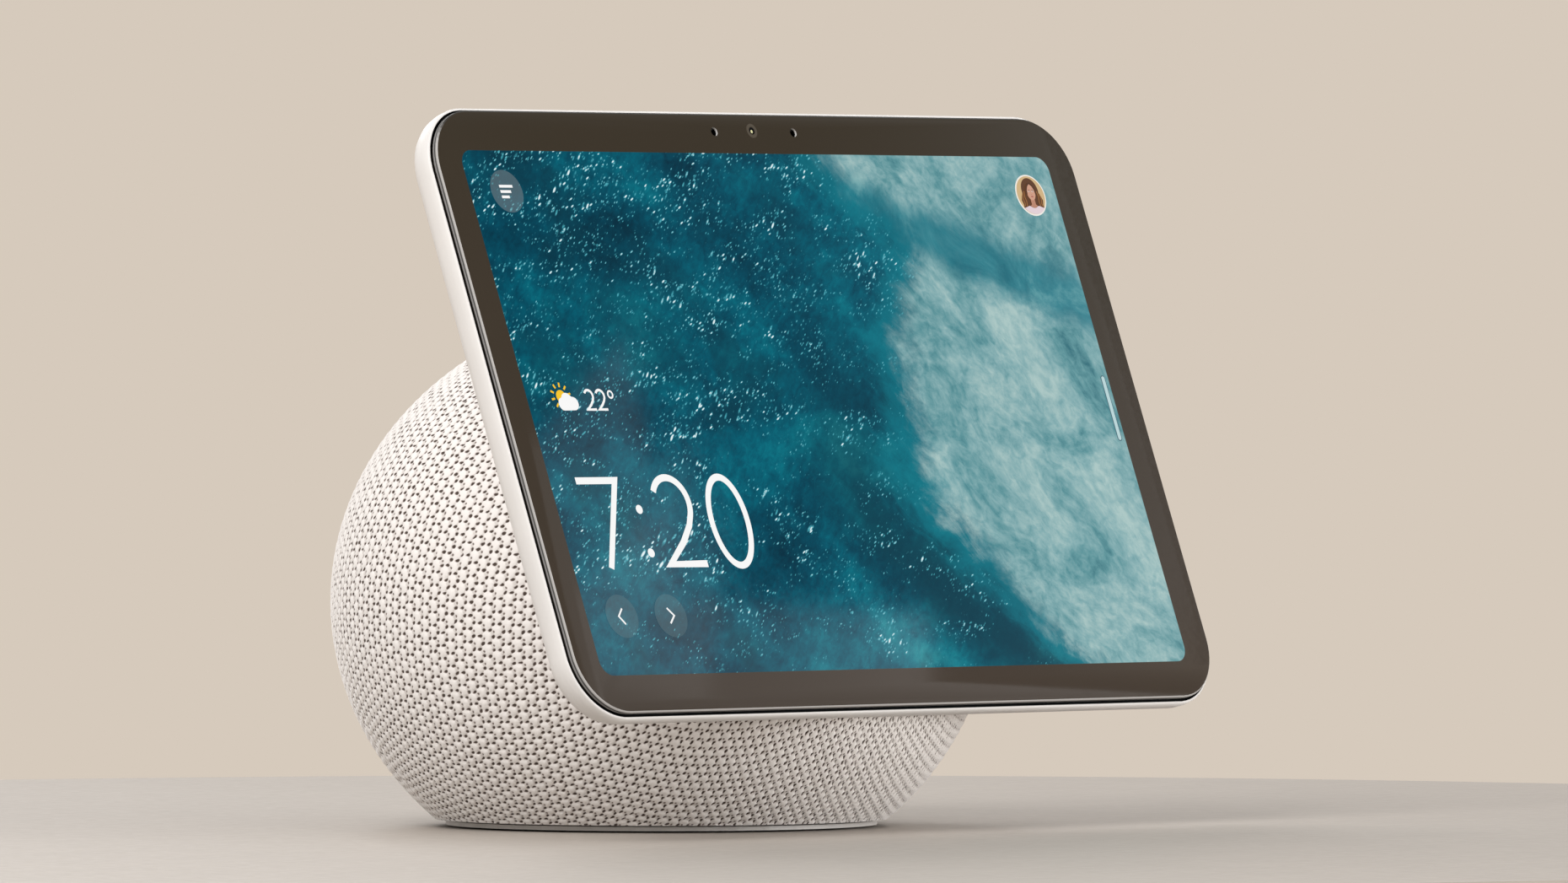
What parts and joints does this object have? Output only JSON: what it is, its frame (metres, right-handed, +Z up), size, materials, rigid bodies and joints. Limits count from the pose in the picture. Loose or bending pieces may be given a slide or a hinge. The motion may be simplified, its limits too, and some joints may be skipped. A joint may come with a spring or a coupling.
{
  "type": "smart speaker",
  "caption": "Smart speaker with a leaning touch display fixed to the front of a fabric-covered ball that holds its loudspeakers.",
  "frame": {"origin": "on the table under the vertical axis of the ball, at the centre of the rubber foot's lower face", "axes": "+Z up, the display faces -Y and leans back towards +Y, +X to the right of a person who faces the screen"},
  "size_m": [0.2037, 0.1424, 0.1519],
  "materials": {
    "white_plastic": "fine satin",
    "knit_fabric": "open three-dimensional knit, off-white",
    "cover_glass": "polished",
    "lens_glass": "polished",
    "bezel_ink": "dark brown print",
    "lcd_panel": "smooth",
    "black_plastic": "fine matt",
    "aluminium": "plain",
    "steel": "plain",
    "rubber": "matt",
    "circuit_board": "lacquered board",
    "paper_cone": "pressed paper",
    "polyimide": "film"
  },
  "bodies": {
    "base": {"cover_glass": "cover_glass", "bezel_mask": "bezel_ink", "gasket_frame": "black_plastic", "lcd_panel": "lcd_panel", "backlight_unit": "aluminium", "display_housing": "white_plastic", "touch_board": "circuit_board", "camera_module": "black_plastic", "camera_lens": "lens_glass", "microphone_left": "steel", "microphone_right": "steel", "button_board": "circuit_board", "switch_1": "steel", "switch_2": "steel", "switch_3": "steel", "display_bracket": "steel", "display_screw_1": "steel", "display_screw_2": "steel", "display_screw_3": "steel", "display_screw_4": "steel", "display_flex": "polyimide", "foot_screw_1": "steel", "foot_screw_2": "steel", "fabric_sleeve": "knit_fabric", "base_shell": "white_plastic", "base_plate": "white_plastic", "foot_pad": "rubber", "port_frame": "black_plastic", "dc_jack": "black_plastic", "main_board": "circuit_board", "board_post_1": "steel", "board_post_2": "steel", "board_post_3": "steel", "board_post_4": "steel", "heat_sink": "aluminium", "rf_shield": "steel", "woofer_baffle": "black_plastic", "woofer_frame": "steel", "woofer_motor": "steel", "woofer_surround": "rubber", "left_driver_baffle": "black_plastic", "left_driver_frame": "steel", "left_driver_motor": "steel", "left_driver_surround": "rubber", "right_driver_baffle": "black_plastic", "right_driver_frame": "steel", "right_driver_motor": "steel", "right_driver_surround": "rubber"},
    "volume_up": {"volume_up_button": "white_plastic"},
    "volume_down": {"volume_down_button": "white_plastic"},
    "privacy": {"privacy_button": "white_plastic"},
    "woofer_cone_body": {"woofer_cone": "paper_cone", "woofer_coil": "polyimide"},
    "left_cone_body": {"left_driver_cone": "paper_cone", "left_driver_coil": "polyimide"},
    "right_cone_body": {"right_driver_cone": "paper_cone", "right_driver_coil": "polyimide"}
  },
  "joints": [
    {"name": "volume_up_press", "type": "slide", "parent": "base", "child": "volume_up", "axis": [-1, 0, 0], "range_m": [0, 0.0005], "stiffness_N_per_m": 800},
    {"name": "volume_down_press", "type": "slide", "parent": "base", "child": "volume_down", "axis": [-1, 0, 0], "range_m": [0, 0.0005], "stiffness_N_per_m": 800},
    {"name": "privacy_press", "type": "slide", "parent": "base", "child": "privacy", "axis": [-1, 0, 0], "range_m": [0, 0.0005], "stiffness_N_per_m": 800},
    {"name": "woofer_excursion", "type": "slide", "parent": "base", "child": "woofer_cone_body", "axis": [0, 1, 0], "range_m": [-0.002, 0.002], "stiffness_N_per_m": 1500, "deforming": ["woofer_surround"]},
    {"name": "left_driver_excursion", "type": "slide", "parent": "base", "child": "left_cone_body", "axis": [-1, 0, 0], "range_m": [-0.0008, 0.0008], "stiffness_N_per_m": 1800, "deforming": ["left_driver_surround"]},
    {"name": "right_driver_excursion", "type": "slide", "parent": "base", "child": "right_cone_body", "axis": [1, 0, 0], "range_m": [-0.0008, 0.0008], "stiffness_N_per_m": 1800, "deforming": ["right_driver_surround"]}
  ]
}
